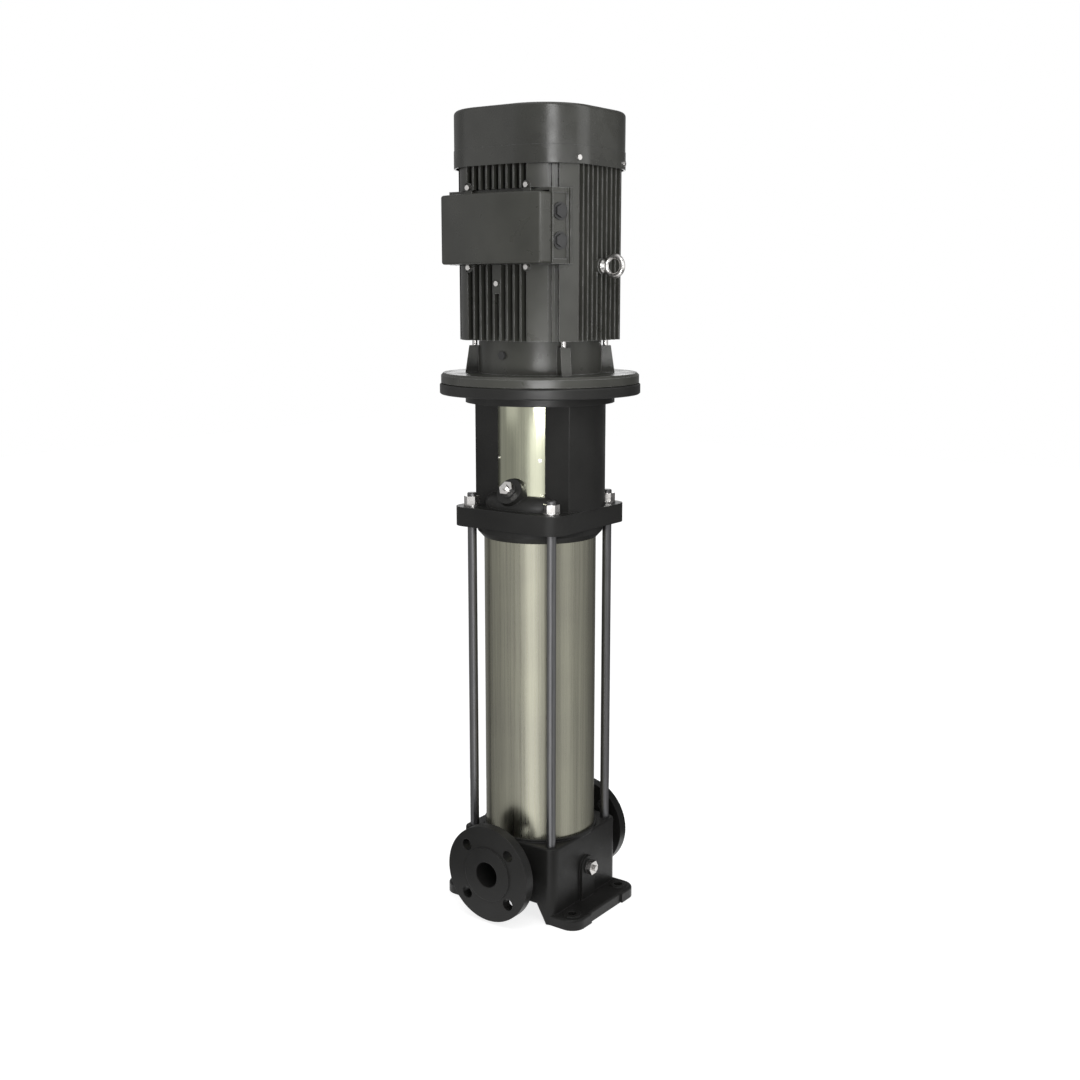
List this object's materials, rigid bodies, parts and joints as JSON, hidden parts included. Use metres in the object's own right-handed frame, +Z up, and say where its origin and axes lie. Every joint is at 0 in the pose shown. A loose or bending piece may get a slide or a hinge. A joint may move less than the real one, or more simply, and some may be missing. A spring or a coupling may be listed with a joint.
{
  "type": "vertical multistage pump",
  "caption": "Upright inline pump: a flanged cast base, a steel sleeve held by stay bolts, a motor stool with a coupling guard, and a finned electric motor on top.",
  "frame": {"origin": "on the floor under the pump's vertical axis, at the centre of the four foundation bolt holes", "axes": "+Z up along the shaft, +X out of the discharge port (the suction port faces -X, as does the terminal box), the drain plug is on the -Y side"},
  "size_m": [0.302, 0.302, 1.211],
  "materials": {
    "cast_paint": "dark grey satin paint over cast iron",
    "motor_paint": "dark grey satin paint over cast aluminium",
    "sheet_paint": "dark grey satin paint on steel sheet",
    "sleeve_steel": "satin stainless steel with vertical polish",
    "guard_steel": "bright stainless steel sheet",
    "rod_steel": "drawn steel",
    "plated_steel": "zinc-plated steel",
    "stainless": "pressed and cast stainless steel",
    "shaft_steel": "ground steel",
    "sintered_iron": "bare cast iron",
    "bearing_steel": "polished bearing steel",
    "lamination": "stacked electrical steel",
    "copper": "varnished copper windings",
    "seal_black": "black rubber",
    "carbide": "dark hard seal material",
    "black_plastic": "black moulded plastic",
    "brass": "machined brass"
  },
  "bodies": {
    "pump": {"base_casting": "cast_paint", "bearing_outer_rings": "bearing_steel", "bottom_bush": "carbide", "cable_entry_plugs": "black_plastic", "clamp_ring": "stainless", "condensate_plug": "black_plastic", "coupling_guard_front": "guard_steel", "coupling_guard_rear": "guard_steel", "drain_plug": "plated_steel", "drive_end_shield": "motor_paint", "earth_screw": "plated_steel", "end_windings": "copper", "fan_cover": "sheet_paint", "fan_cover_screws": "plated_steel", "fan_end_shield": "motor_paint", "flange_screws": "plated_steel", "guard_screws": "plated_steel", "inlet_piece": "stainless", "lid_gasket": "seal_black", "lifting_eyes": "plated_steel", "outer_sleeve": "sleeve_steel", "plug_washers": "seal_black", "pump_head": "cast_paint", "seal_cover": "stainless", "seal_seat": "carbide", "shield_bolts": "plated_steel", "sleeve_gaskets": "seal_black", "stage_chambers": "stainless", "stator_core": "lamination", "stator_housing": "motor_paint", "stay_bolts": "rod_steel", "stay_nuts": "plated_steel", "stay_washers": "plated_steel", "terminal_block": "black_plastic", "terminal_box": "motor_paint", "terminal_box_lid": "motor_paint", "terminal_box_screws": "plated_steel", "terminal_studs": "brass", "top_chamber": "stainless", "vent_plug": "plated_steel"},
    "rotor": {"motor_shaft": "shaft_steel", "rotor_core": "lamination", "bearing_inner_rings": "bearing_steel", "cooling_fan": "black_plastic", "coupling_half_near": "sintered_iron", "coupling_half_far": "sintered_iron", "coupling_screws": "plated_steel", "coupling_pin": "shaft_steel", "pump_shaft": "shaft_steel", "seal_ring": "carbide", "impellers": "stainless"},
    "vent_spindle": {"vent_screw": "plated_steel"},
    "bypass_valve": {"bypass_spindle": "plated_steel"}
  },
  "joints": [
    {"name": "shaft_spin", "type": "hinge", "parent": "pump", "child": "rotor", "pos_m": [0, 0, 0.737], "axis": [0, 0, 1], "continuous": true},
    {"name": "vent_screw_turn", "type": "hinge", "parent": "pump", "child": "vent_spindle", "pos_m": [-0.079, 0, 0.664], "axis": [-0.8192, 0, 0.5736], "range_deg": [0, 720]},
    {"name": "bypass_spindle_turn", "type": "hinge", "parent": "pump", "child": "bypass_valve", "pos_m": [0, -0.0935, 0.068], "axis": [0, -1, 0], "range_deg": [0, 720]}
  ]
}
